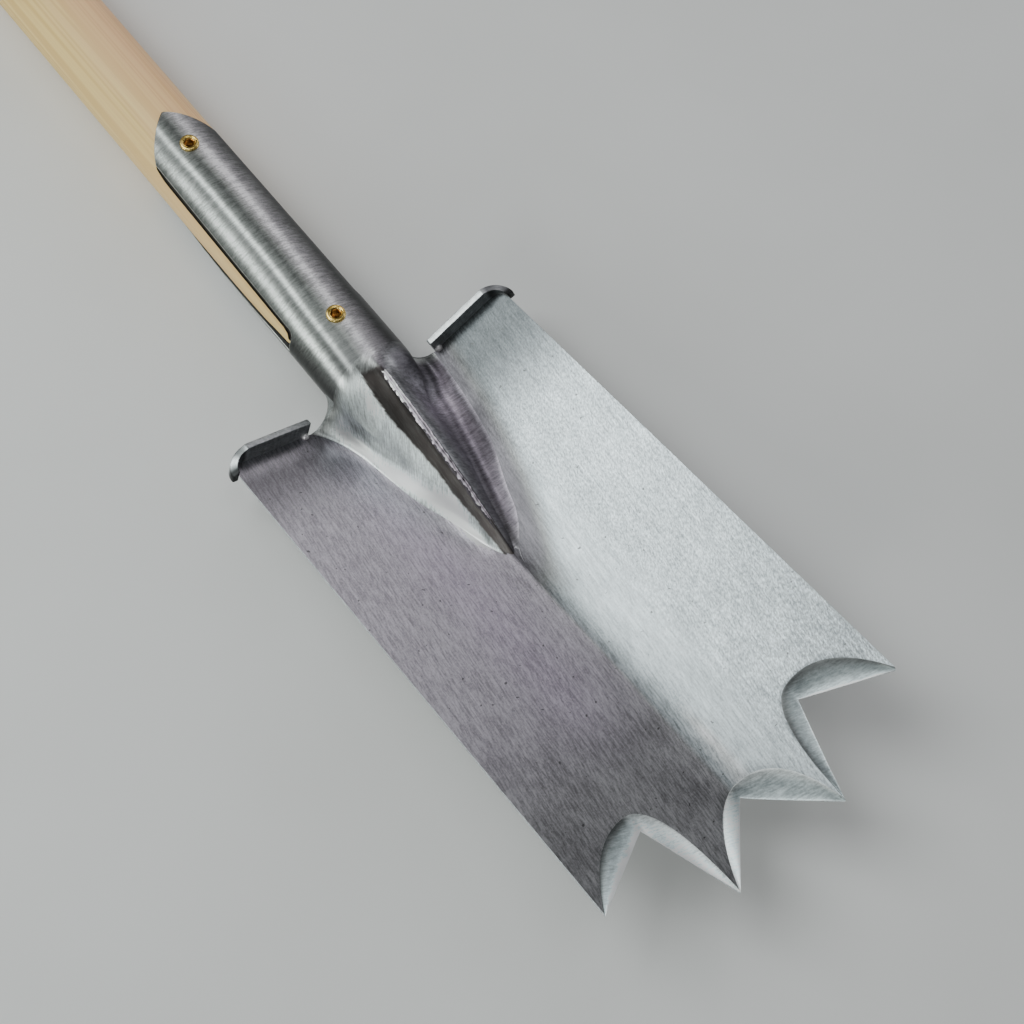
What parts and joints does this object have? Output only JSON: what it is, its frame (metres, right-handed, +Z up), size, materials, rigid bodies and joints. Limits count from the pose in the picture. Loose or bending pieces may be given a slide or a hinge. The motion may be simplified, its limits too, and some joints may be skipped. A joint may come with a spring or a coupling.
{
  "type": "detecting shovel",
  "caption": "Digging shovel for metal detecting: V-dished steel blade with pointed teeth, welded foot treads, riveted socket and ash T-grip shaft.",
  "frame": {"origin": "bottom centre of the shovel's bounding box as it lies on its back: X = 0 on the middle plane of the blade and shaft, Z = 0 on the floor that the heel and the T-grip touch", "axes": "+X across the blade, +Y from the teeth towards the T-grip, +Z up, out of the dished front face"},
  "size_m": [0.1536, 1.053, 0.0602],
  "materials": {
    "blade_steel": "stainless sheet, lengthwise grind lines, bright ground bevels at the teeth",
    "socket_steel": "stainless, ground round the socket and across the keel",
    "tread_steel": "stainless strip, satin with bright edges",
    "weld_steel": "ground and partly raw weld metal",
    "brass": "polished brass, darker in the bowl of the head",
    "shaft_ash": "sanded ash, straight grain, lightly oiled",
    "grip_ash": "sanded ash, grain along the bar",
    "wedge_wood": "dark hardwood, cut flush"
  },
  "bodies": {
    "root": {"blade": "blade_steel", "tread_left": "tread_steel", "tread_right": "tread_steel", "tread_weld_left": "weld_steel", "tread_weld_right": "weld_steel", "socket": "socket_steel", "keel_seam_weld": "weld_steel", "foot_weld_left": "weld_steel", "foot_weld_right": "weld_steel", "heel_weld": "weld_steel", "rivet_upper": "brass", "rivet_lower": "brass", "shaft": "shaft_ash", "t_grip": "grip_ash", "grip_wedge": "wedge_wood", "grip_pin": "brass"}
  },
  "joints": []
}
